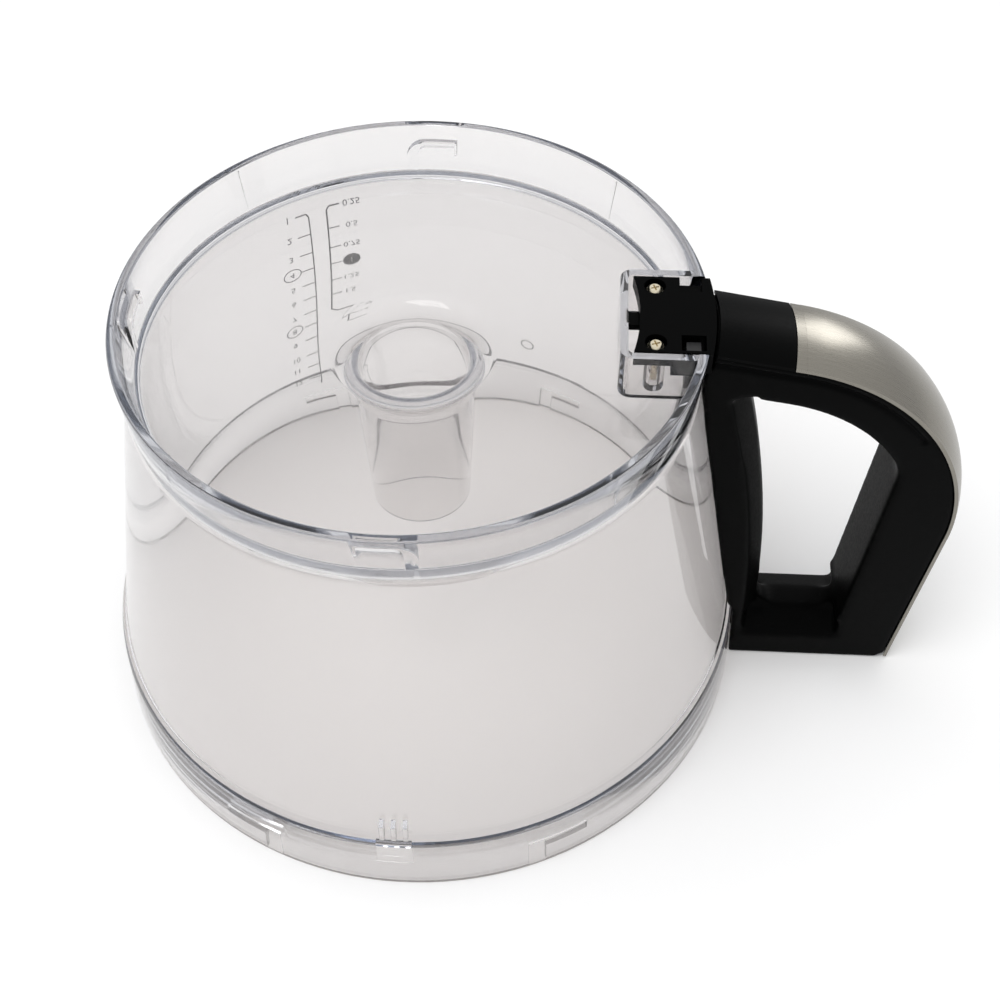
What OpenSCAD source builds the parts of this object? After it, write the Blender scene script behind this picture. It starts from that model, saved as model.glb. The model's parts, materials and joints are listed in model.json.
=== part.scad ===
// Work bowl of a food processor, standing upside down on its rim, with its loop handle.
// Millimetres. Z is the bowl's axis and points at its drive end; X points through the handle.
// The rim's resting edge is at z = 0.

/* [Bowl] */
// Outer radius of the rim at its resting edge
rim_r = 110.2; // [108.6:0.2:111.6]
// Outer radius of the waist, where the skirt starts
waist_r = 87.8; // [86.8:0.2:88.2]
// Thickness of the tapered wall
wall_t = 2.75; // [2.2:0.05:3.2]
// Thickness of the floor
floor_t = 3.5; // [2.8:0.1:4.2]
// Height of the skirt above the floor
skirt_h = 16.4; // [15.8:0.1:17]

/* [Drive tube] */
// Radius of the parallel part of the tube's bore
tube_bore_r = 15.2; // [13.5:0.1:15.6]
// Height of the tube's free end above the rim plane
tube_end_z = 62; // [45:1:75]

/* [Handle] */
// Width of the loop across its flat sides
handle_w = 28; // [27:0.5:30]
// Radius of the grip's outer curve
grip_r = 70; // [68:0.5:71]
// Rise of the crowned top over its edges
crown = 2.5; // [1.5:0.1:3.2]
// Thickness of the steel trim
trim_t = 1.1; // [0.8:0.1:1.4]

/* [Interlock rod] */
// Wire diameter of the return spring
wire_d = 0.7; // [0.5:0.1:0.8]
// Turns in the return spring
turns = 7; // [5:1:8]

/* [View] */
// Part to draw

/* [Hidden] */
$fn = 96;
gap = 0.35;          // air between the bowl and what is fixed round it

// Bowl levels and radii
rim_in_r = rim_r - 3.2;
ledge_z = 22;
shoulder_z = 27.5;
waist_z = 133.5;
shoulder_r = rim_r - 3.5;
floor_z = 137.3;     // drive side of the floor
food_z = floor_z - floor_t;
top_z = floor_z + skirt_h;
skirt_r = waist_r + 1.4;
skirt_t = 2.9;
slope = (shoulder_r - waist_r) / (waist_z - shoulder_z);
wall_tilt = atan(slope);

// Drive tube
flare_r = 9;
flare_c = [tube_bore_r + 10.8, floor_z - flare_r];
tube_land_z = 104;

// Bayonet hooks
hook_r = 83.1;
hook_z = floor_z + 9.8;

// Pocket for the handle's foot
pocket_x = 62;
pocket_w = 38;
pocket_wall = 2.4;
boss_x = 72.4;
boss_y = 11.9;
boss_top = 149;
block_top = top_z - 0.2;
block_w = 32;
block_r0 = 67.9;
block_r1 = skirt_r + 1.1;
block_step_x = 77;
tab_w = 5.4;

// Grip: a straight root, an arc round grip_c and a straight leg
grip_c = [104, 77];
root_a = 79.4;       // angle on the arc where the root starts
leg_a = -6;          // angle on the arc where the leg starts
root_len = 40;
leg_len = 69;
lap = 1;             // length by which root and leg lap into the arc
lap_drop = 0.05;
loop_in_r = grip_r - 16;
crown_r = (pow(handle_w / 2, 2) + crown * crown) / (2 * crown);
seam_r = 91.5;       // cover starts here
trim_r = 114.5;      // trim starts here
frame_w = handle_w - 0.2;
crown_w = frame_w - 0.4;
frame_z = 0.4;       // lowest face of the handle

// Inner line of the spine: a shallow arc
spine_c = [-297.6, 18];
spine_r = 415.1;
bevel_in = 5.6;
bevel_y = 4;
bar_z = 17.3;

// Interlock rod
rod_y = -5;
rod_w = 4.8;
rod_travel = 5;
channel_w = 6;
rod_off = [2.3, 5.7];      // rod's faces, measured out from the wall
channel_off = [1.6, 6.9];
stem_x = 104.8;
stem_r = 1.5;
shoulder_top = 66;
seat_z = 82;
seat_t = 3;

function wall_r(z) = waist_r + (waist_z - z) * slope;

// Points on an arc, both ends included
function arc(c, r, a0, a1, n = 8) =
    [for (i = [0:n]) c + r * [cos(a0 + (a1 - a0) * i / n), sin(a0 + (a1 - a0) * i / n)]];

// Outer surface of the bowl, from the rim up, pushed out by g
function outer_line(g = 0) = concat(
    [[rim_r + g, 0.9], [rim_r - 1.2 + g, ledge_z + 0.8]],
    [[rim_r - 1.8 + g, 25.4 + g / 2], [shoulder_r + g, shoulder_z + g / 2]],
    [[waist_r + g, waist_z], [waist_r - 0.2 + g, waist_z + 1.4], [waist_r + 0.1 + g, waist_z + 2.8]]);

// ---------------------------------------------------------------- work bowl

module bowl_section() {
    inner_foot = wall_r(food_z - 5) - wall_t - 5;
    polygon(concat(
        [[rim_in_r, 0]],
        arc([rim_r - 0.9, 0.9], 0.9, -90, -30, 2),
        outer_line(),
        [[skirt_r, top_z - 0.6]],
        [[skirt_r - 0.6, top_z]],
        [[skirt_r - skirt_t + 0.5, top_z], [skirt_r - skirt_t, top_z - 0.5]],
        arc([82.2, floor_z + 1.6], 1.6, 0, -90, 2),
        arc(flare_c, flare_r, 90, 176, 8),
        [[tube_bore_r, tube_land_z], [tube_bore_r, tube_end_z + 0.4], [tube_bore_r + 0.4, tube_end_z]],
        [[tube_bore_r + 1.3, tube_end_z], [tube_bore_r + 1.8, tube_end_z + 0.5]],
        [[tube_bore_r + 3.4, flare_c[1] - 9]],
        arc(flare_c, flare_r - floor_t, 180, 90, 5),
        arc([inner_foot, food_z - 5], 5, 90, wall_tilt, 4),
        [[wall_r(ledge_z + 0.9) - wall_t, ledge_z + 0.9], [wall_r(ledge_z) - wall_t + 0.6, ledge_z]],
        [[rim_in_r, ledge_z]]));
}

// Solid between two radii and two angles, standing on z0
module sector(r0, r1, a0, a1, z0, z1) {
    rotate([0, 0, a0])
        translate([0, 0, z0])
            rotate_extrude(angle = a1 - a0)
                translate([r0, 0])
                    square([r1 - r0, z1 - z0]);
}

module pocket_outline(inset = 0) {
    corner = 4 - inset;
    half = pocket_w / 2 - inset;
    x0 = pocket_x + inset;
    translate([x0 + corner, -half])
        square([26 - corner, 2 * half]);
    translate([x0, corner - half])
        square([corner + 1, 2 * (half - corner)]);
    for (s = [-1, 1])
        translate([x0 + corner, s * (half - corner)])
            circle(r = corner);
}

// Hook that the machine's lug turns under: a shelf, a broad stop down to the floor and a short lip
module bayonet_hook() {
    sector(hook_r, skirt_r - 1.4, -5.7, 5.2, hook_z, hook_z + 1.7);
    sector(hook_r + 0.05, skirt_r - 1.5, 4.2, 6.6, floor_z - 0.5, hook_z + 0.9);
    sector(hook_r + 0.1, skirt_r - 1.8, -5.6, -5, hook_z - 3.2, hook_z + 0.5);
}

// Slot in the rim for a lug of the lid
module lid_slot() {
    sector(rim_in_r - 2, rim_in_r + 1.1, 65, 68.2, -1, 13);
    sector(rim_in_r - 1.9, rim_in_r + 1, 57.1, 66, 9, 12.8);
}

module screw_boss() {
    difference() {
        cylinder(d = 6.2, h = boss_top - floor_z + 1, $fn = 48);
        translate([0, 0, 2.5])
            cylinder(r = 1.15, h = 20, $fn = 32);
    }
}

module work_bowl() {
    color([0.86, 0.88, 0.9, 0.35])
    union() {
        difference() {
            union() {
                rotate_extrude($fn = 144)
                    bowl_section();
                intersection() {
                    translate([0, 0, floor_z - 1])
                        linear_extrude(block_top - floor_z + 1)
                            pocket_outline();
                    cylinder(r = skirt_r - 1.6, h = 400, center = true);
                }
                for (a = [90, 180, 270])
                    rotate([0, 0, a])
                        bayonet_hook();
                // parting lines on the skirt's inner face
                for (a = [45, 135, 225, 315])
                    rotate([0, 0, a])
                        rotate_extrude(angle = 0.25)
                            polygon([[83.5, floor_z + 1.7], [skirt_r - 2, floor_z + 1.7],
                                     [skirt_r - 2, top_z - 1], [skirt_r - skirt_t - 0.4, top_z - 1]]);
                // alignment pad over the shoulder, with three grip ribs
                sector(rim_in_r + 0.7, rim_r - 0.3, -94, -88, 14, 26);
                for (i = [-1:1])
                    sector(shoulder_r - 1.5, shoulder_r + 1.9, -91.4 + 2 * i, -90.6 + 2 * i, 25.9, 34);
            }
            translate([0, 0, floor_z])
                linear_extrude(40)
                    intersection() {
                        pocket_outline(pocket_wall);
                        translate([0, -block_w / 2 - 0.6])
                            square([200, block_w + 1.2]);
                    }
            translate([pocket_x + 20, -block_w / 2 - 0.6, floor_z])
                cube([20, block_w + 1.2, 40]);
            // socket for the foot block's tab, in the pocket's front wall
            translate([pocket_x + 1.6, -tab_w / 2 - 0.3, boss_top - 0.1])
                cube([3.4, tab_w + 0.6, 2.5]);
            for (mx = [0, 1], my = [0, 1])
                mirror([mx, 0, 0])
                    mirror([0, my, 0])
                        lid_slot();
        }
        for (s = [-1, 1])
            translate([boss_x, s * boss_y, floor_z - 1])
                screw_boss();
    }
}

// ---------------------------------------------------------------- handle

// Section of the crowned top, normal to the grip: x is height over the edge line, y is width
module crown_section(drop, depth, width) {
    intersection() {
        translate([crown - crown_r, 0])
            circle(r = crown_r - drop, $fn = 160);
        translate([-depth, -width / 2])
            square([depth + crown + 1, width]);
    }
}

module trim_section(width) {
    difference() {
        crown_section(0, trim_t + 1, width);
        translate([crown - crown_r, 0])
            circle(r = crown_r - trim_t, $fn = 160);
    }
}

// Carries a section along the root, lapping into the arc a hair below its surface
module along_root() {
    translate([grip_c[0], 0, grip_c[1]])
        rotate([0, -root_a, 0])
            translate([grip_r - lap_drop, 0, -lap])
                linear_extrude(root_len + lap)
                    children();
}

// Carries a section round the arc
module along_arc(a0 = leg_a, a1 = root_a) {
    translate([grip_c[0], 0, grip_c[1]])
        rotate([90, 0, 0])
            rotate([0, 0, a0])
                rotate_extrude(angle = a1 - a0, $fn = 180)
                    translate([grip_r, 0])
                        children();
}

// Carries a section down the leg, lapping into the arc in the same way
module along_leg(len = leg_len) {
    translate([grip_c[0], 0, grip_c[1]])
        rotate([0, -leg_a, 0])
            mirror([0, 0, 1])
                translate([grip_r - lap_drop, 0, -lap])
                    linear_extrude(len + lap)
                        children();
}

function grip_point(r, a) = grip_c + r * [cos(a), sin(a)];

// Side outline of the handle under the trim, filled
module loop_outline() {
    r = grip_r - 2.2;
    top = grip_point(r, root_a);
    leg = grip_point(r, leg_a);
    polygon(concat(
        [[80, frame_z], [leg[0] - (leg[1] - frame_z) * tan(-leg_a) - 1.4, frame_z]],
        [[leg[0] - (leg[1] - frame_z - 1.4) * tan(-leg_a), frame_z + 1.4]],
        arc(grip_c, r, leg_a, root_a, 24),
        [[80, top[1] + (top[0] - 80) / tan(root_a)]]));
}

// The hand opening
module loop_hole() {
    corner_r = 16;
    corner_a = 33;
    c = grip_c + (loop_in_r - corner_r) * [cos(corner_a), sin(corner_a)];
    leg_top = c + corner_r * [cos(-4.6), sin(-4.6)];
    top = grip_point(loop_in_r, root_a);
    bar_right = leg_top[0] - (leg_top[1] - bar_z - 7) * tan(4.6);
    polygon(concat(
        arc(spine_c, spine_r, 1.6, 14.6, 14),
        arc([105.3, 129], 2.6, 175, 82, 3),
        arc(grip_c, loop_in_r, root_a, corner_a, 18),
        arc(c, corner_r, corner_a - 3, -4.6, 10),
        arc([bar_right - 7, bar_z + 7], 7, 0, -90, 6),
        arc([124.6, bar_z + 7], 7, -90, -180, 6)));
}

// Bowl and its clearance, as the handle sees it
module bowl_envelope() {
    rotate_extrude($fn = 144)
        polygon(concat([[0, -5], [rim_r + gap, -5]], outer_line(gap),
                       [[skirt_r + gap, top_z], [skirt_r + gap, 200], [0, 200]]));
}

// Slab that follows the wall: out[0] to out[1] from it, y0 to y1 across, z0 to z1 high
module wall_slab(out, y0, y1, z0, z1) {
    translate([0, y1, 0])
        rotate([90, 0, 0])
            linear_extrude(y1 - y0)
                polygon([[wall_r(z0) + out[0], z0], [wall_r(z0) + out[1], z0],
                         [wall_r(z1) + out[1], z1], [wall_r(z1) + out[0], z1]]);
}

module rod_channel() {
    y0 = rod_y - channel_w / 2;
    y1 = rod_y + channel_w / 2;
    wall_slab(channel_off, y0, y1, 27, 139);
    // straight foot beside the rim
    translate([rim_r - 1, y0, -1])
        cube([5, channel_w, 38]);
    // head room under the cover, open to the pocket
    translate([80, y0, 136])
        cube([14.6, channel_w, 11]);
    // spring chamber, running through the seat's place, and jog chamber
    translate([stem_x, rod_y, shoulder_top - 8])
        cylinder(r = 3.2, h = seat_z + seat_t + 8 - shoulder_top, $fn = 48);
    translate([stem_x - 7, y0, seat_z + seat_t])
        cube([9.1, channel_w, 11]);
}

module spring_seat() {
    difference() {
        translate([wall_r(seat_z) + 2, rod_y - channel_w / 2 - 1, seat_z])
            cube([9.5, channel_w + 2, seat_t]);
        translate([stem_x - 12, rod_y - stem_r - 0.3, seat_z - 1])
            cube([12, 2 * stem_r + 0.6, seat_t + 2]);
        translate([stem_x, rod_y, seat_z - 1])
            cylinder(r = stem_r + 0.3, h = seat_t + 2, $fn = 32);
    }
}

module handle_frame() {
    color([0.07, 0.075, 0.08])
    union() {
        difference() {
            union() {
                translate([0, frame_w / 2, 0])
                    rotate([90, 0, 0])
                        linear_extrude(frame_w)
                            difference() {
                                loop_outline();
                                loop_hole();
                            }
                along_root()
                    crown_section(trim_t + 0.25, 4, crown_w - lap_drop);
                along_arc()
                    crown_section(trim_t + 0.25, 4.1, crown_w);
                along_leg(leg_len - 1.2)
                    crown_section(trim_t + 0.25, 4, crown_w - lap_drop);
            }
            bowl_envelope();
            // bevels down both sides of the spine and along both sides of the bar
            for (m = [0, 1])
                mirror([0, m, 0]) {
                    translate([spine_c[0], 0, spine_c[1]])
                        rotate([90, 0, 0])
                            rotate([0, 0, -0.3])
                                rotate_extrude(angle = 16.3, $fn = 360)
                                    polygon([[spine_r - bevel_in, frame_w / 2],
                                             [spine_r - bevel_in, frame_w / 2 + 2],
                                             [spine_r + 3, frame_w / 2 + 2],
                                             [spine_r + 3, bevel_y], [spine_r, bevel_y]]);
                    translate([113.4, 0, 0])
                        rotate([90, 0, 90])
                            linear_extrude(33)
                                polygon([[frame_w / 2, bar_z - 5], [frame_w / 2 + 2, bar_z - 5],
                                         [frame_w / 2 + 2, bar_z + 3], [bevel_y, bar_z + 3],
                                         [bevel_y, bar_z]]);
                    // shadow groove under the trim
                    along_root()
                        translate([-4.7, frame_w / 2 - 1])
                            square([1.5, 3]);
                    along_arc(36, root_a)
                        translate([-4.7, frame_w / 2 - 1])
                            square([1.5, 3]);
                }
            // clearance round the foot block
            translate([0, 0, floor_z + 7.6])
                cylinder(r = block_r1 + 0.3, h = 60, $fn = 144);
            rod_channel();
            // rebate for the channel cover
            wall_slab([-2, 1.9], rod_y - 4.8, rod_y + 4.8, 36, 130);
        }
        spring_seat();
        // tongue held down by the foot block
        translate([79.5, -1.4, floor_z + 0.4])
            cube([14, 13.4, 7.2]);
    }
}

module root_zone(r0, r1) {
    difference() {
        translate([0, 0, 100])
            cylinder(r = r1, h = 100, $fn = 144);
        translate([0, 0, 99])
            cylinder(r = r0, h = 102, $fn = 144);
    }
}

module top_cover() {
    color([0.06, 0.06, 0.065])
    intersection() {
        along_root()
            trim_section(handle_w);
        root_zone(seam_r, trim_r - 0.3);
    }
}

module steel_trim() {
    color([0.74, 0.72, 0.69])
    difference() {
        union() {
            along_root()
                trim_section(handle_w - lap_drop);
            along_arc()
                trim_section(handle_w);
            along_leg()
                trim_section(handle_w - lap_drop);
        }
        translate([0, 0, 100])
            cylinder(r = trim_r, h = 100, $fn = 144);
    }
}

module foot_block() {
    wx0 = 79.8;
    wx1 = 87;
    color([0.07, 0.075, 0.08])
    difference() {
        union() {
            intersection() {
                difference() {
                    cylinder(r = block_r1, h = 300, $fn = 144);
                    translate([0, 0, -1])
                        cylinder(r = block_r0, h = 302, $fn = 144);
                }
                union() {
                    translate([60, -block_w / 2, boss_top + 0.1])
                        cube([40, block_w, block_top - boss_top - 0.1]);
                    translate([block_step_x, -block_w / 2, floor_z + 8])
                        cube([40, block_w, block_top - floor_z - 8]);
                }
            }
            // tab that hooks into the pocket's front wall
            translate([pocket_x + 2, -tab_w / 2, boss_top + 0.1])
                cube([7, tab_w, 2]);
        }
        // window for the interlock rod's tip, and room for its arm
        translate([wx0, -15, 100])
            cube([wx1 - wx0, 6.3, 100]);
        translate([wx0, -15, 100])
            cube([14, 13.2, 47]);
        // notch on the other side, with a step in front of it
        translate([wx0, 14.1, 100])
            cube([6.6, 10, 100]);
        translate([wx0, 9.9, block_top - 1.5])
            cube([6.6, 10, 10]);
        for (s = [-1, 1])
            translate([boss_x, s * boss_y, 0]) {
                translate([0, 0, block_top - 2.1])
                    cylinder(d = 6.5, h = 10, $fn = 48);
                cylinder(r = 1.4, h = 200, $fn = 32);
            }
    }
}

module foot_screws() {
    head_z = block_top - 2.1;
    color([0.72, 0.66, 0.5])
    for (s = [-1, 1])
        translate([boss_x, s * boss_y, 0])
            difference() {
                union() {
                    translate([0, 0, 141])
                        cylinder(r = 1.05, h = head_z - 141 + 0.5, $fn = 32);
                    translate([0, 0, head_z + 0.02])
                        cylinder(r = 2.35, h = 0.7, $fn = 48);
                    translate([0, 0, head_z + 0.7])
                        cylinder(r1 = 2.35, r2 = 1.6, h = 0.8, $fn = 48);
                }
                for (a = [20, 110])
                    translate([0, 0, head_z + 0.5])
                        rotate([0, 0, a])
                            translate([-1.3, -0.25, 0])
                                cube([2.6, 0.5, 3]);
            }
}

// ---------------------------------------------------------------- interlock

module push_rod() {
    y0 = rod_y - rod_w / 2;
    y1 = rod_y + rod_w / 2;
    tip_z = block_top - 2;
    color([0.16, 0.16, 0.165])
    union() {
        // tip in the foot block's window, and its arm over the floor
        translate([81.4, -14.1, floor_z + 0.9])
            cube([4.2, 4.6, tip_z - floor_z - 0.9]);
        translate([81.4, -14.1, floor_z + 0.9])
            cube([4.8, 14.1 + y1, 3.2]);
        translate([81.4, y0, floor_z + 0.9])
            cube([12, rod_w, 3.2]);
        // upper leg, jog, stem with shoulder, lower leg
        wall_slab(rod_off, y0, y1, seat_z + seat_t + 4, floor_z + 2);
        translate([98.3, y0, seat_z + seat_t + 1])
            cube([stem_x + stem_r - 98.3, rod_w, 4]);
        translate([stem_x, rod_y, shoulder_top - 3])
            cylinder(r = stem_r, h = seat_z + seat_t + 6 - shoulder_top, $fn = 32);
        translate([stem_x, rod_y, shoulder_top - 2])
            cylinder(r = 2.7, h = 2, $fn = 48);
        wall_slab(rod_off, y0, y1, 28, shoulder_top - 1);
        // foot beside the rim, pressed by the lid
        translate([rim_r + 1.1, y0, 1])
            cube([2.6, rod_w, 29.5]);
    }
}

module return_spring() {
    coil_r = 2.2;
    pitch = (seat_z - shoulder_top - 2 * wire_d) / turns;
    tilt = atan(pitch / (4 * coil_r));
    color([0.7, 0.7, 0.72])
    // half turns, each tilted the other way, meet end to end
    for (k = [0:2 * turns - 1])
        translate([stem_x, rod_y, shoulder_top + wire_d + pitch * (k + 0.5) / 2])
            rotate([0, k % 2 == 0 ? tilt : -tilt, 0])
                rotate([0, 0, 180 * (k % 2)])
                    rotate_extrude(angle = 180, $fn = 48)
                        translate([coil_r, 0])
                            circle(d = wire_d, $fn = 6);
}

module channel_cover() {
    color([0.05, 0.05, 0.055])
    intersection() {
        difference() {
            rotate_extrude($fn = 144)
                polygon([[wall_r(37) + 0.4, 37], [wall_r(37) + 1.5, 37],
                         [wall_r(129) + 1.5, 129], [wall_r(129) + 0.4, 129]]);
            translate([-200, -200, 0])
                cube([200, 400, 200]);
        }
        translate([0, rod_y - 4.5, 0])
            cube([200, 9, 200]);
    }
}

work_bowl();
handle_frame();
top_cover();
steel_trim();
foot_block();
foot_screws();
push_rod();
return_spring();
channel_cover();
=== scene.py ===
"""Clear work bowl of a food processor, standing on its rim: fine meshes, materials, light and camera.

Lengths below are in millimetres until a mesh is made; Blender objects are in metres.
"""
import json
import math

import bmesh
import bpy
from mathutils import Matrix, Vector, bvhtree, kdtree


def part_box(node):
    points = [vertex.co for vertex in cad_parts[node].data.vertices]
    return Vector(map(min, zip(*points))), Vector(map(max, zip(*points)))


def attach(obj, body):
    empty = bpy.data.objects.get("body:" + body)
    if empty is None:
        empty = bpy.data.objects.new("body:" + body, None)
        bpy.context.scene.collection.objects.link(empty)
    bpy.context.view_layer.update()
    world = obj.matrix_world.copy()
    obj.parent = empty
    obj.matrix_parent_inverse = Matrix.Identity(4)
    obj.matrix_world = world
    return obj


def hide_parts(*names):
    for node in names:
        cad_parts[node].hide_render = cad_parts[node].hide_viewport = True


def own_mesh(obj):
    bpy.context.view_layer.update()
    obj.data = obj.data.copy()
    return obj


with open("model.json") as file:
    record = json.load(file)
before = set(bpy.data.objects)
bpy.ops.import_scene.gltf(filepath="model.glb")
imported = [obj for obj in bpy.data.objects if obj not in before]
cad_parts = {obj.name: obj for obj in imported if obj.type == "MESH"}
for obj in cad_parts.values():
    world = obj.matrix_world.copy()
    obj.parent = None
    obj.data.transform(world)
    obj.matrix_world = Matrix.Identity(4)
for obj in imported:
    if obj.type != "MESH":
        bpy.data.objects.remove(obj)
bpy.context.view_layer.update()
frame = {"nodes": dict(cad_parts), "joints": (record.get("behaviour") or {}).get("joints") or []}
MM = 0.001


def high_corner(node):
    """The far corner of a CAD node's box in millimetres."""
    return Vector(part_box(node)[1]) / MM


BOWL_HIGH = high_corner("work_bowl")
BLOCK_HIGH = high_corner("foot_block")
TRIM_HIGH = high_corner("steel_trim")

# Bowl: levels and radii, measured from the frame's box
RIM_R = BOWL_HIGH.y
TOP_Z = BOWL_HIGH.z
RIM_IN_R = RIM_R - 3.2
LEDGE_Z = 22.0
SHOULDER_Z = 27.5
SHOULDER_R = RIM_R - 3.5
WAIST_R = RIM_R - 22.4
WAIST_Z = TOP_Z - 20.2
FLOOR_Z = TOP_Z - 16.4
FOOD_Z = FLOOR_Z - 3.5
SKIRT_R = WAIST_R + 1.4
SKIRT_T = 2.9
WALL_T = 2.75
SLOPE = (SHOULDER_R - WAIST_R) / (WAIST_Z - SHOULDER_Z)
TILT = math.degrees(math.atan(SLOPE))
TUBE_R = 15.2
TUBE_END_Z = 62.0
FLARE = (26.0, FLOOR_Z - 9.0)

# Pocket for the handle's foot: its inward face, and its two screw bosses
POCKET_X = 62.0
BOSS = (72.4, 11.9)
BOSS_R = 3.1
BOSS_TOP = BLOCK_HIGH.z - 4.5

# Bayonet hooks in the skirt, and one lid slot's two ends in degrees with the width of its entry
HOOK_R = WAIST_R - 4.7
HOOK_Z = FLOOR_Z + 9.8
SLOT = (57.1, 68.2)
SLOT_ENTRY = 3.2

# Grip: centre of its arc, on the handle's middle plane
GRIP = (TRIM_HIGH.x - 72.47, 77.0)

# Interlock rod: how far it lifts, in metres
SLIDE = frame["joints"][0]
TRAVEL = SLIDE["range_m"][1]


def wall_r(z):
    """Outer radius of the tapered wall at height z."""
    return WAIST_R + (WAIST_Z - z) * SLOPE


def arc(centre, radius, start, end, steps):
    """Points on an arc in a plane, both ends included."""
    turn = [math.radians(start + (end - start) * i / steps) for i in range(steps + 1)]
    return [(centre[0] + radius * math.cos(t), centre[1] + radius * math.sin(t)) for t in turn]


# ------------------------------------------------------------------ mesh helpers

def new_object(name, bm, smooth_angle=35):
    """Turns a bmesh in millimetres into an object in metres, smooth but for edges over the angle."""
    bmesh.ops.recalc_face_normals(bm, faces=bm.faces)
    bmesh.ops.scale(bm, vec=(MM, MM, MM), verts=bm.verts)
    mesh = bpy.data.meshes.new(name)
    bm.to_mesh(mesh)
    bm.free()
    mesh.shade_smooth()
    mesh.set_sharp_from_angle(angle=math.radians(smooth_angle))
    piece = bpy.data.objects.new(name, mesh)
    bpy.context.scene.collection.objects.link(piece)
    return piece


def swept(name, profile, start=0.0, end=360.0, step=1.25):
    """A solid made by turning a closed (radius, height) outline about the bowl's axis."""
    bm = bmesh.new()
    whole = end - start >= 360
    count = max(2, round((end - start) / step))
    angles = [math.radians(start + (end - start) * i / count) for i in range(count + (not whole))]
    rings = [[bm.verts.new((r * math.cos(a), r * math.sin(a), z)) for r, z in profile] for a in angles]
    n = len(profile)
    pairs = list(zip(rings, rings[1:])) + ([(rings[-1], rings[0])] if whole else [])
    for one, two in pairs:
        for i in range(n):
            bm.faces.new((one[i], one[(i + 1) % n], two[(i + 1) % n], two[i]))
    if not whole:
        bm.faces.new(rings[0])
        bm.faces.new(rings[-1])
    return new_object(name, bm)


def close_between(bm, one, two):
    """End faces and walls between two matching loops of points."""
    one, two = ([bm.verts.new(point) for point in loop] for loop in (one, two))
    bm.faces.new(one)
    bm.faces.new(two)
    for i in range(len(one)):
        j = (i + 1) % len(one)
        bm.faces.new((one[i], one[j], two[j], two[i]))


def prism(name, outline, low, high):
    """A solid with an (x, y) outline, standing between two heights."""
    bm = bmesh.new()
    close_between(bm, [(x, y, low) for x, y in outline], [(x, y, high) for x, y in outline])
    return new_object(name, bm)


def sector(name, inner, outer, start, end, low, high):
    """A block between two radii, two angles and two heights."""
    return swept(name, [(inner, low), (outer, low), (outer, high), (inner, high)], start, end)


def put_in_place(piece, node):
    """Puts a visual piece on the bowl's body, where it stands for a CAD node."""
    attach(piece, "bowl")
    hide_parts(node)


def copy_of(node, name):
    """A CAD node's mesh in an object of its own."""
    piece = bpy.data.objects.new(name, frame["nodes"][node].data.copy())
    bpy.context.scene.collection.objects.link(piece)
    return piece


def combined(base, joins, cuts):
    """The base with other solids joined to it and cut from it."""
    for operation, tools in (("UNION", joins), ("DIFFERENCE", cuts)):
        for tool in tools:
            step = base.modifiers.new(operation.lower(), "BOOLEAN")
            step.operation = operation
            step.object = tool
            step.solver = "MANIFOLD"
    graph = bpy.context.evaluated_depsgraph_get()
    mesh = bpy.data.meshes.new_from_object(base.evaluated_get(graph))
    base.modifiers.clear()
    base.data = mesh
    mesh.shade_smooth()
    mesh.set_sharp_from_angle(angle=math.radians(35))
    for tool in list(joins) + list(cuts):
        bpy.data.objects.remove(tool)
    return base


# ------------------------------------------------------------------ material helpers

def new_material(name):
    """A node tree with a Principled shader; returns the material, its nodes, its links and the shader."""
    material = bpy.data.materials.new(name)
    material.use_nodes = True
    nodes, links = material.node_tree.nodes, material.node_tree.links
    return material, nodes, links, nodes["Principled BSDF"]


def noise(nodes, links, vector, scale, detail=4.0, roughness=0.55):
    """A noise texture's value on given coordinates."""
    texture = nodes.new("ShaderNodeTexNoise")
    texture.inputs["Scale"].default_value = scale
    texture.inputs["Detail"].default_value = detail
    texture.inputs["Roughness"].default_value = roughness
    links.new(vector, texture.inputs["Vector"])
    return texture.outputs["Fac"]


def spread(nodes, links, value, low, high, start=0.3, end=0.7):
    """Maps a value from start..end to low..high."""
    ramp = nodes.new("ShaderNodeMapRange")
    ramp.inputs["From Min"].default_value = start
    ramp.inputs["From Max"].default_value = end
    ramp.inputs["To Min"].default_value = low
    ramp.inputs["To Max"].default_value = high
    links.new(value, ramp.inputs["Value"])
    return ramp.outputs["Result"]


def tint(nodes, links, value, dark, light):
    """Mixes two colours by a value."""
    mix = nodes.new("ShaderNodeMix")
    mix.data_type = "RGBA"
    mix.inputs["A"].default_value = (*dark, 1)
    mix.inputs["B"].default_value = (*light, 1)
    links.new(value, mix.inputs["Factor"])
    return mix.outputs["Result"]


def bumped(nodes, links, shader, height, strength, distance):
    """Adds a bump to a shader's normal."""
    bump = nodes.new("ShaderNodeBump")
    bump.inputs["Strength"].default_value = strength
    bump.inputs["Distance"].default_value = distance
    links.new(height, bump.inputs["Height"])
    links.new(bump.outputs["Normal"], shader.inputs["Normal"])


def dress(piece, material):
    """Gives a piece one material in place of any it had."""
    piece.data.materials.clear()
    piece.data.materials.append(material)


def object_coordinates(nodes):
    """Coordinates that stay with the piece, in metres."""
    return nodes.new("ShaderNodeTexCoord").outputs["Object"]


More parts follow.
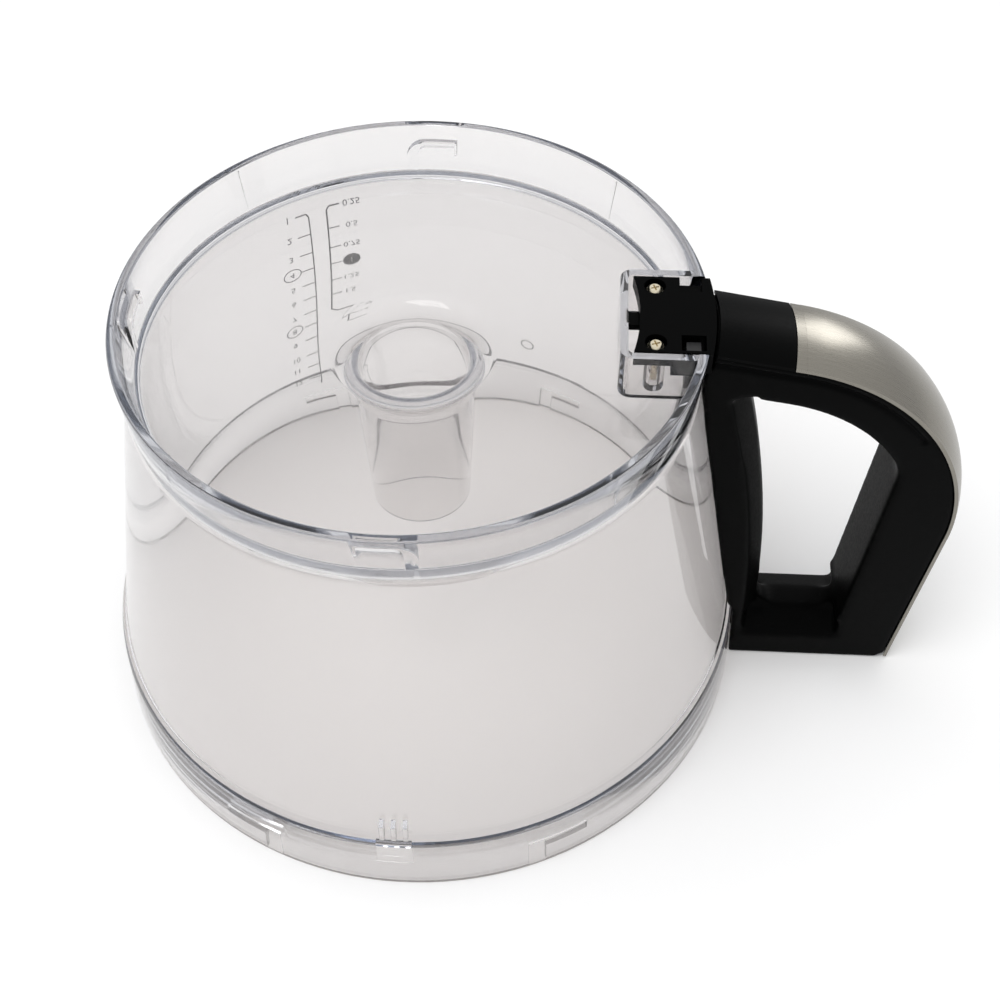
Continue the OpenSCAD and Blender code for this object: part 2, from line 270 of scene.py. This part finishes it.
def clear_plastic():
    """Clear moulded plastic with a faint haze of wear; light passes through it to what it covers."""
    material, nodes, links, shader = new_material("clear_plastic")
    place = object_coordinates(nodes)
    shader.inputs["Transmission Weight"].default_value = 1.0
    shader.inputs["IOR"].default_value = 1.5
    shader.inputs["Base Color"].default_value = (0.925, 0.908, 0.897, 1)
    haze = noise(nodes, links, place, 60, 6)
    links.new(spread(nodes, links, haze, 0.01, 0.055, 0.4, 0.7), shader.inputs["Roughness"])
    wave = noise(nodes, links, place, 16, 2)
    bumped(nodes, links, shader, wave, 0.05, 0.0006)
    open_to_light = nodes.new("ShaderNodeBsdfTransparent")
    open_to_light.inputs["Color"].default_value = (0.72, 0.685, 0.66, 1)
    path = nodes.new("ShaderNodeLightPath")
    mix = nodes.new("ShaderNodeMixShader")
    links.new(path.outputs["Is Shadow Ray"], mix.inputs["Fac"])
    links.new(shader.outputs["BSDF"], mix.inputs[1])
    links.new(open_to_light.outputs["BSDF"], mix.inputs[2])
    links.new(mix.outputs["Shader"], nodes["Material Output"].inputs["Surface"])
    depth = nodes.new("ShaderNodeVolumeAbsorption")
    depth.inputs["Color"].default_value = (0.52, 0.55, 0.61, 1)
    depth.inputs["Density"].default_value = 42.0
    links.new(depth.outputs["Volume"], nodes["Material Output"].inputs["Volume"])
    return material


def black_plastic(name, shade, roughness):
    """Black moulded plastic with a fine spark-eroded texture."""
    material, nodes, links, shader = new_material(name)
    place = object_coordinates(nodes)
    soft = noise(nodes, links, place, 25, 3)
    grain = noise(nodes, links, place, 900, 3, 0.7)
    links.new(tint(nodes, links, soft, [c * 0.85 for c in shade], [c * 1.2 for c in shade]),
              shader.inputs["Base Color"])
    links.new(spread(nodes, links, grain, roughness - 0.05, roughness + 0.07), shader.inputs["Roughness"])
    shader.inputs["Specular IOR Level"].default_value = 0.03
    bumped(nodes, links, shader, grain, 0.25, 0.00008)
    return material


def brushed_steel():
    """Steel brushed along the grip: fine lines round the arc's centre."""
    material, nodes, links, shader = new_material("brushed_steel")
    shader.inputs["Metallic"].default_value = 1.0
    split = nodes.new("ShaderNodeSeparateXYZ")
    links.new(object_coordinates(nodes), split.inputs["Vector"])
    join = nodes.new("ShaderNodeCombineXYZ")
    angle = nodes.new("ShaderNodeMath")
    angle.operation = "ARCTAN2"
    for axis, centre, slot in (("Z", GRIP[1], 0), ("X", GRIP[0], 1)):
        offset = nodes.new("ShaderNodeMath")
        offset.operation = "SUBTRACT"
        offset.inputs[1].default_value = centre * MM
        links.new(split.outputs[axis], offset.inputs[0])
        links.new(offset.outputs["Value"], angle.inputs[slot])
    for source, factor, socket in ((angle.outputs["Value"], 2.0, "X"), (split.outputs["Y"], 900.0, "Y")):
        scale = nodes.new("ShaderNodeMath")
        scale.operation = "MULTIPLY"
        scale.inputs[1].default_value = factor
        links.new(source, scale.inputs[0])
        links.new(scale.outputs["Value"], join.inputs[socket])
    lines = noise(nodes, links, join.outputs["Vector"], 3.0, 5, 0.6)
    shade = tint(nodes, links, lines, (0.205, 0.193, 0.168), (0.275, 0.260, 0.229))
    links.new(shade, shader.inputs["Base Color"])
    links.new(spread(nodes, links, lines, 0.24, 0.33), shader.inputs["Roughness"])
    bumped(nodes, links, shader, lines, 0.06, 0.00004)
    return material


def plated_metal(name, dark, light, roughness):
    """Plated screws and drawn wire, with slight tarnish."""
    material, nodes, links, shader = new_material(name)
    shader.inputs["Metallic"].default_value = 1.0
    stain = noise(nodes, links, object_coordinates(nodes), 500, 4)
    links.new(tint(nodes, links, stain, dark, light), shader.inputs["Base Color"])
    links.new(spread(nodes, links, stain, roughness, roughness + 0.15), shader.inputs["Roughness"])
    return material


def rod_plastic():
    """Dark slippery moulding of the interlock rod."""
    material, nodes, links, shader = new_material("rod_plastic")
    cloud = noise(nodes, links, object_coordinates(nodes), 120, 3)
    shade = tint(nodes, links, cloud, (0.010, 0.010, 0.011), (0.018, 0.018, 0.019))
    links.new(shade, shader.inputs["Base Color"])
    links.new(spread(nodes, links, cloud, 0.35, 0.5), shader.inputs["Roughness"])
    return material


def print_ink(name, dark, light):
    """Screen print, a little uneven."""
    material, nodes, links, shader = new_material(name)
    patch = noise(nodes, links, object_coordinates(nodes), 800, 4)
    links.new(tint(nodes, links, patch, dark, light), shader.inputs["Base Color"])
    links.new(spread(nodes, links, patch, 0.5, 0.7), shader.inputs["Roughness"])
    return material


# ------------------------------------------------------------------ bowl

def bowl_profile():
    """Outline of the whole moulding in (radius, height), from the rim's resting edge round."""
    corner = 5.0
    foot = wall_r(FOOD_Z - corner) - WALL_T - corner
    bore = [(TUBE_R + 1.6, FLARE[1]), (TUBE_R + 1.1, FLARE[1] - 6), (TUBE_R + 0.4, FLARE[1] - 14),
            (TUBE_R, 104), (TUBE_R, TUBE_END_Z + 0.6)]
    return (
        [(RIM_IN_R + 0.35, 0)]
        + arc((RIM_R - 0.9, 0.9), 0.9, -90, 3, 6)
        + arc((RIM_R - 2.2, LEDGE_Z + 0.4), 1.0, 3, 30, 3)
        + arc((RIM_R - 3.6, 24.6), 1.8, 20, 62, 4)
        + arc((SHOULDER_R + 1.2, 27.9), 1.3, 232, 188, 4)
        + [(WAIST_R + 0.1, WAIST_Z - 0.6), (WAIST_R - 0.15, WAIST_Z + 0.6), (WAIST_R - 0.15, WAIST_Z + 1.6),
           (WAIST_R + 0.1, WAIST_Z + 2.6)]
        + arc((SKIRT_R - 0.75, TOP_Z - 0.75), 0.75, -4, 90, 5)
        + arc((SKIRT_R - SKIRT_T + 0.6, TOP_Z - 0.6), 0.6, 90, 188, 4)
        + arc((81.95, FLOOR_Z + 1.7), 1.7, 10, -90, 6)
        + arc(FLARE, 9.0, 90, 178, 14)
        + bore
        + arc((TUBE_R + 0.6, TUBE_END_Z + 0.6), 0.6, 180, 270, 3)
        + arc((TUBE_R + 1.3, TUBE_END_Z + 0.6), 0.6, 270, 360, 3)
        + [(TUBE_R + 3.4, FLARE[1] - 9), (TUBE_R + 4.6, FLARE[1] - 3.5)]
        + arc(FLARE, 5.5, 186, 90, 10)
        + arc((foot, FOOD_Z - corner), corner, 90, TILT, 8)
        + [(wall_r(LEDGE_Z + 1.0) - WALL_T, LEDGE_Z + 1.0), (wall_r(LEDGE_Z) - WALL_T + 0.5, LEDGE_Z)]
        + [(RIM_IN_R, LEDGE_Z), (RIM_IN_R, 0.35)]
    )


def pocket_outline():
    """Pocket for the handle's foot: a box with rounded corners, closed along the skirt."""
    half, corner, front, wall = 19.0, 4.0, POCKET_X, SKIRT_R - 1.6
    reach = math.degrees(math.asin(half / wall))
    return (arc((front + corner, half - corner), corner, 180, 90, 8)
            + arc((0, 0), wall, reach, -reach, 12)
            + arc((front + corner, corner - half), corner, -90, -180, 8))


def pocket_hollow():
    """Room inside the pocket, open through the skirt towards the handle."""
    half, corner, front = 16.6, 1.6, POCKET_X + 2.4
    return (arc((front + corner, half - corner), corner, 180, 90, 5)
            + [(RIM_R, half), (RIM_R, -half)]
            + arc((front + corner, corner - half), corner, -90, -180, 5))


def hook(turn):
    """Bayonet hook inside the skirt: a shelf that bends down into a broad stop, with a short lip.

    It stands out from the skirt as one drafted block, narrower at its inner face.
    """
    top, stop_in, stop_out, lip = HOOK_Z + 1.7, 5.4, 9.4, -8.2
    outline = [(lip, top), (lip, HOOK_Z - 3.2), (lip + 0.8, HOOK_Z - 3.2), (lip + 0.8, HOOK_Z)]
    outline += arc((stop_in - 3, HOOK_Z - 3), 3, 90, 0, 6)
    outline += [(stop_in, FLOOR_Z - 0.5), (stop_out, FLOOR_Z - 0.5)]
    outline += arc((stop_out - 6.3, top - 6.3), 6.3, 0, 90, 10)
    outward = Vector((math.cos(math.radians(turn)), math.sin(math.radians(turn)), 0))
    along = Vector((-outward.y, outward.x, 0))
    loops = [[outward * reach + along * t * width + Vector((0, 0, z)) for t, z in outline]
             for reach, width in ((HOOK_R, 0.95), (SKIRT_R - 1.6, 1))]
    bm = bmesh.new()
    close_between(bm, *loops)
    return new_object("hook", bm)


def lid_slots():
    """Four slots in the rim's inner face, mirrored about both middle planes."""
    near, far = SLOT
    for low, high, entry in (
            (near, far, far - SLOT_ENTRY), (-far, -near, -far),
            (180 - far, 180 - near, 180 - far), (near - 180, far - 180, far - 180 - SLOT_ENTRY)):
        yield sector("entry", RIM_IN_R - 2, RIM_IN_R + 1.1, entry, entry + SLOT_ENTRY, -1, 13)
        yield sector("run", RIM_IN_R - 1.9, RIM_IN_R + 1.0, low + 0.01, high - 0.01, 9, 12.8)


def boss(side):
    """Screw boss, a post with a pilot hole."""
    centre = (BOSS[0], side * BOSS[1])
    post = prism("boss", arc(centre, BOSS_R, 0, 352.5, 47), FLOOR_Z - 1, BOSS_TOP)
    hole = prism("pilot", arc(centre, 1.15, 0, 345, 23), FLOOR_Z + 1.5, TOP_Z + 9)
    return post, hole


def pocket_socket():
    """Recess in the pocket's inward wall for the foot block's tab."""
    low, high, half = POCKET_X + 1.6, POCKET_X + 4, 3
    outline = [(low, -half), (high, -half), (high, half), (low, half)]
    return prism("socket", outline, BOSS_TOP - 0.1, BOSS_TOP + 2.4)


def make_bowl():
    """The whole clear moulding: the turned body with its hooks, seams, pad, ribs, pocket and slots."""
    body = swept("bowl", bowl_profile())
    seam = [(83.5, FLOOR_Z + 1.7), (SKIRT_R - 2, FLOOR_Z + 1.7), (SKIRT_R - 2, TOP_Z - 1),
            (SKIRT_R - SKIRT_T - 0.4, TOP_Z - 1)]
    joins = [prism("pocket", pocket_outline(), FLOOR_Z - 1, BLOCK_HIGH.z)]
    joins += [hook(turn) for turn in (90, 180, 270)]
    joins.append(sector("pad", RIM_IN_R + 0.7, RIM_R - 0.3, -94, -88, 14, 26))
    joins += [swept("seam", seam, a, a + 0.25, 0.125) for a in (45, 135, 225, 315)]
    joins += [sector("rib", SHOULDER_R - 1.5, SHOULDER_R + 1.9, a - 0.4, a + 0.4, 25.9, 34)
              for a in (-93, -91, -89)]
    combined(body, joins, [prism("hollow", pocket_hollow(), FLOOR_Z, TOP_Z + 9)])
    posts, holes = zip(*(boss(side) for side in (-1, 1)))
    combined(body, posts, [*holes, pocket_socket(), *lid_slots()])
    return body


bowl = make_bowl()
dress(bowl, clear_plastic())
put_in_place(bowl, "work_bowl")


# ------------------------------------------------------------------ printed scales

INK = print_ink("print_ink", (0.16, 0.16, 0.17), (0.28, 0.28, 0.29))
PALE_INK = print_ink("pale_ink", (0.70, 0.70, 0.70), (0.82, 0.82, 0.82))
INK_T = 0.05
INK_SUNK = -0.02


def on_wall(az, z, lift):
    """Point on the wall's outer surface, lifted off it."""
    r = wall_r(z) + lift
    a = math.radians(az)
    return (r * math.cos(a), r * math.sin(a), z)


def flat_print(name, outlines):
    """Thin print on the wall: each outline is a list of (angle, height) corners."""
    bm = bmesh.new()
    for outline in outlines:
        close_between(bm, *([on_wall(a, z, lift) for a, z in outline] for lift in (INK_SUNK, INK_T)))
    return new_object(name, bm)


def stroke(points, width):
    """Quads that follow a path of (angle, height) points, as wide as given in millimetres."""
    quads = []
    for (a0, z0), (a1, z1) in zip(points, points[1:]):
        r = wall_r((z0 + z1) / 2)
        dx, dz = math.radians(a1 - a0) * r, z1 - z0
        length = math.hypot(dx, dz)
        side_a = math.degrees(-dz / length * width / 2 / r)
        side_z = dx / length * width / 2
        quads.append([(a0 - side_a, z0 - side_z), (a1 - side_a, z1 - side_z),
                      (a1 + side_a, z1 + side_z), (a0 + side_a, z0 + side_z)])
    return quads


def bend(points, steps=6):
    """Splits each stretch of a path, so that it can follow the wall."""
    out = [points[0]]
    for one, two in zip(points, points[1:]):
        out += [(one[0] + (two[0] - one[0]) * i / steps, one[1] + (two[1] - one[1]) * i / steps)
                for i in range(1, steps + 1)]
    return out


def ring(az, z, radius_x, radius_z, steps=28):
    """A closed path round a point of the wall."""
    r = wall_r(z)
    return [(az + math.degrees(x / r), z + y) for x, y in
            [(radius_x * math.cos(2 * math.pi * i / steps), radius_z * math.sin(2 * math.pi * i / steps))
             for i in range(steps + 1)]]


def disc(name, az, z, radius, steps=32):
    """A filled dot on the wall."""
    bm = bmesh.new()
    edge = ring(az, z, radius, radius, steps)[:-1]
    low, high = ([bm.verts.new(on_wall(a, h, lift)) for a, h in edge] for lift in (INK_SUNK, INK_T))
    for loop, lift in ((low, INK_SUNK), (high, INK_T)):
        hub = bm.verts.new(on_wall(az, z, lift))
        for i in range(steps):
            bm.faces.new((hub, loop[i], loop[(i + 1) % steps]))
    for i in range(steps):
        j = (i + 1) % steps
        bm.faces.new((low[i], low[j], high[j], high[i]))
    return new_object(name, bm)


def numeral(name, text, az, z, height, raised=INK_T):
    """A numeral wrapped on the wall; it reads from outside with the rim upward."""
    curve = bpy.data.curves.new(name, "FONT")
    curve.body = text
    curve.size = height
    curve.align_x = "CENTER"
    curve.align_y = "CENTER"
    curve.extrude = 0.5
    curve.resolution_u = 3
    words = bpy.data.objects.new(name, curve)
    bpy.context.scene.collection.objects.link(words)
    graph = bpy.context.evaluated_depsgraph_get()
    mesh = bpy.data.meshes.new_from_object(words.evaluated_get(graph))
    bpy.data.objects.remove(words)
    r = wall_r(z)
    for vertex in mesh.vertices:
        x, y, depth = vertex.co
        lift = raised if depth > 0 else INK_T + INK_SUNK - raised
        vertex.co = Vector(on_wall(az - math.degrees(x / r), z - y, lift)) * MM
    piece = bpy.data.objects.new(name, mesh)
    bpy.context.scene.collection.objects.link(piece)
    return piece


CUP_Z = (123.6, 113.8, 103.9, 94.8, 85.9, 76.9, 67.7, 59.4, 50.6, 40.5, 32.9, 24.8)
LITRE_Z = (124.4, 113.9, 103.4, 93.8, 83.5, 74.1)
LITRES = ("0.25", "0.5", "0.75", "1", "1.25", "1.5")
PALE_LITRE = "1"     # stands on the dot, so a little higher than the rest of the print
PALE_LIFT = 0.1


def cup_line(z):
    """Angle of the cup scale's line; it leans a little."""
    return 117.8 + 2 * (z - 18) / 104


def cup_label(z):
    """Angle of the cup scale's numerals."""
    return 124.0 + (z - 18) / 104


def litre_label(z):
    """Angle of the litre scale's numerals."""
    return 110.8 - 1.2 * (z - 74) / 50


def make_scales():
    """The cup and litre scales, the dot behind the 1, and the small ring on the wall."""
    pieces = []
    top = CUP_Z[0]
    lines = stroke(bend([(123.0, top), (120.4, top), (cup_line(top), top - 1.6), (cup_line(18), 18)]), 0.5)
    for z in CUP_Z[1:]:
        lines += stroke(bend([(cup_line(z), z), (cup_line(z) + 3.2, z)], 3), 0.45)
    top = LITRE_Z[0]
    lines += stroke(bend([(112.4, top), (114.9, top), (115.5, top - 1.6), (115.1, 64.5), (113.6, 62.4),
                          (109.3, 62.4)]), 0.6)
    for z in LITRE_Z[1:]:
        lines += stroke(bend([(115.2, z), (112.7, z)], 3), 0.45)
    for z in (CUP_Z[3], CUP_Z[7]):
        lines += stroke(ring(cup_label(z), z, 3.6, 3.2), 0.45)
    pieces.append(flat_print("scale_lines", lines))
    for i, z in enumerate(CUP_Z):
        pieces.append(numeral(f"cups_{i + 1}", str(i + 1), cup_label(z), z, 4.2))
    for text, z in zip(LITRES, LITRE_Z):
        lift = PALE_LIFT if text == PALE_LITRE else INK_T
        pieces.append(numeral("litres_" + text.replace(".", "_"), text, litre_label(z), z, 3.8, lift))
    pieces.append(disc("litre_dot", litre_label(LITRE_Z[3]), LITRE_Z[3], 3.4))
    pieces.append(flat_print("gate_mark", stroke(ring(72.3, 40.7, 2.6, 2.6, 20), 0.5)))
    return pieces


for piece in make_scales():
    dress(piece, PALE_INK if piece.name == "litres_" + PALE_LITRE else INK)
    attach(piece, "bowl")


# ------------------------------------------------------------------ handle

# A point inside the hand opening, how far its corners reach, how far in from its wall the softening
# goes, and the room round the rod, at rest and fully lifted, that is left as it is
GRIP_HOLE = Vector((GRIP[0] + 24, 0, GRIP[1] - 9)) * MM
HOLE_REACH = 76.0
SOFT_DEPTH = 9.0
ROD_ROOM = 1.2


def applied(piece, steps):
    """Runs modifiers, given as (kind, settings), on a piece and keeps the mesh they make."""
    for kind, settings in steps:
        step = piece.modifiers.new(kind.lower(), kind)
        for key, value in settings.items():
            setattr(step, key, value)
    graph = bpy.context.evaluated_depsgraph_get()
    mesh = bpy.data.meshes.new_from_object(piece.evaluated_get(graph))
    piece.modifiers.clear()
    piece.data = mesh


def near_rod(piece):
    """The points of a piece that lie near the interlock rod, either at rest or fully lifted."""
    rod = frame["nodes"]["push_rod"].data
    tree = bvhtree.BVHTree.FromPolygons([v.co for v in rod.vertices], [p.vertices for p in rod.polygons])
    lifts = (Vector(), Vector((0, 0, TRAVEL)))
    return {v.index for v in piece.data.vertices
            if any(tree.find_nearest(v.co - lift, ROD_ROOM * MM)[0] is not None for lift in lifts)}


def mark_soft_points(piece):
    """Groups of points: all but those near the rod, and those near the hand opening's wall.

    Weight in the second falls off away from the wall.
    """
    held = near_rod(piece)
    piece.vertex_groups.new(name="soft").add(
        [v.index for v in piece.data.vertices if v.index not in held], 1.0, "REPLACE")
    wall = [v.co for v in piece.data.vertices
            if abs(v.co.y) < 8 * MM and v.normal.xz.dot((GRIP_HOLE - v.co).xz.normalized()) > 0.5
            and (GRIP_HOLE - v.co).xz.length < HOLE_REACH * MM]
    tree = kdtree.KDTree(len(wall))
    for i, co in enumerate(wall):
        tree.insert((co.x, 0, co.z), i)
    tree.balance()
    group = piece.vertex_groups.new(name="near_hole")
    for v in piece.data.vertices:
        distance = tree.find((v.co.x, 0, v.co.z))[2] / MM
        if distance < SOFT_DEPTH and v.index not in held:
            group.add([v.index], min(1.0, 1.6 * (1 - distance / SOFT_DEPTH)), "REPLACE")


def softened(node, name, voxel, rounds, hole_rounds):
    """A moulding's soft edges: a CAD node's shape, meshed evenly and smoothed, most round its hole."""
    piece = copy_of(node, name)
    applied(piece, [("REMESH", {"mode": "VOXEL", "voxel_size": voxel * MM})])
    mark_soft_points(piece)
    applied(piece, [("SMOOTH", {"factor": 0.5, "iterations": rounds, "vertex_group": "soft"}),
                    ("SMOOTH", {"factor": 0.5, "iterations": hole_rounds, "vertex_group": "near_hole"}),
                    ("DECIMATE", {"ratio": 0.2})])
    piece.data.shade_smooth()
    return piece


black = black_plastic("black_plastic", (0.0008, 0.0009, 0.0009), 0.42)
handle = softened("handle_frame", "handle", voxel=0.5, rounds=8, hole_rounds=60)
dress(handle, black)
put_in_place(handle, "handle_frame")


# ------------------------------------------------------------------ materials of the CAD nodes

cover_black = black_plastic("cover_plastic", (0.0008, 0.0009, 0.0009), 0.33)
FINISHES = {
    "top_cover": cover_black,
    "foot_block": cover_black,
    "channel_cover": black,
    "steel_trim": brushed_steel(),
    "foot_screws": plated_metal("plated_screws", (0.62, 0.54, 0.38), (0.90, 0.84, 0.68), 0.18),
    "push_rod": rod_plastic(),
}
for node, material in FINISHES.items():
    dress(frame["nodes"][node], material)


# ------------------------------------------------------------------ spring

def make_spring():
    """The return spring: a copy of its CAD node, carried by the bowl's body."""
    spring = copy_of("return_spring", "spring")
    dress(spring, plated_metal("spring_wire", (0.5, 0.5, 0.5), (0.72, 0.72, 0.73), 0.25))
    put_in_place(spring, "return_spring")
    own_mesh(spring)


make_spring()


# ------------------------------------------------------------------ floor, light and camera

def make_floor():
    """Plain pale floor."""
    bm = bmesh.new()
    bmesh.ops.create_grid(bm, x_segments=2, y_segments=2, size=12000)
    floor = new_object("floor", bm)
    material, nodes, links, shader = new_material("floor")
    cloud = noise(nodes, links, object_coordinates(nodes), 3, 2)
    shade = tint(nodes, links, cloud, (0.92, 0.92, 0.92), (0.95, 0.95, 0.95))
    links.new(shade, shader.inputs["Base Color"])
    shader.inputs["Roughness"].default_value = 0.6
    floor.data.materials.append(material)


def make_world():
    """Soft studio surround: bright overhead, greyer towards the horizon."""
    world = bpy.data.worlds.new("studio")
    bpy.context.scene.world = world
    world.use_nodes = True
    nodes, links = world.node_tree.nodes, world.node_tree.links
    split = nodes.new("ShaderNodeSeparateXYZ")
    links.new(nodes.new("ShaderNodeTexCoord").outputs["Generated"], split.inputs["Vector"])
    up = spread(nodes, links, split.outputs["Z"], 0.0, 1.0, 0.0, 0.8)
    sky = tint(nodes, links, up, (0.68, 0.685, 0.70), (0.96, 0.96, 0.96))
    links.new(sky, nodes["Background"].inputs["Color"])
    nodes["Background"].inputs["Strength"].default_value = 1.0


def soft_light(name, place, aim, size, power, only=(), mirrored=True):
    """A soft box, seen in glossy faces or not; one made only for some pieces shines on nothing else."""
    light = bpy.data.lights.new(name, "AREA")
    light.shape = "RECTANGLE"
    light.size, light.size_y = size
    light.energy = power
    lamp = bpy.data.objects.new(name, light)
    lamp.location = place
    lamp.visible_glossy = mirrored
    lamp.rotation_euler = (Vector(aim) - Vector(place)).to_track_quat("-Z", "Y").to_euler()
    bpy.context.scene.collection.objects.link(lamp)
    if only:
        group = bpy.data.collections.new(name + "_pieces")
        for piece in only:
            group.objects.link(piece)
        lamp.light_linking.receiver_collection = group


def make_camera():
    """Looks down 50 degrees from in front, a little to the handle's side."""
    back = Vector((0.03559, -0.63659, 0.77038)).normalized()
    right = Vector((0.99870, 0.05080, -0.00416))
    right = (right - back * right.dot(back)).normalized()
    up = back.cross(right)
    data = bpy.data.cameras.new("camera")
    data.sensor_width = 36
    data.lens = 55.83
    camera = bpy.data.objects.new("camera", data)
    camera.matrix_world = Matrix.Translation((0.04492, -0.33484, 0.47003)) @ Matrix((
        (right.x, up.x, back.x, 0), (right.y, up.y, back.y, 0), (right.z, up.z, back.z, 0), (0, 0, 0, 1)))
    bpy.context.scene.collection.objects.link(camera)
    bpy.context.scene.camera = camera


make_floor()
make_world()
soft_light("overhead", (-0.4, -0.5, 1.8), (0.03, 0, 0.0), (1.0, 1.0), 13, mirrored=False)
soft_light("window", (0.77, 1.0, 0.72), (0.1, 0, 0.1), (0.4, 0.6), 3.4,
           only=[handle] + [frame["nodes"][node] for node in ("steel_trim", "top_cover", "foot_screws")])
make_camera()
bpy.context.scene.view_settings.view_transform = "Standard"

# Light turns many times inside the thick clear edges before it leaves them
for kind in ("max_bounces", "glossy_bounces", "transmission_bounces", "transparent_max_bounces"):
    setattr(bpy.context.scene.cycles, kind, 18)
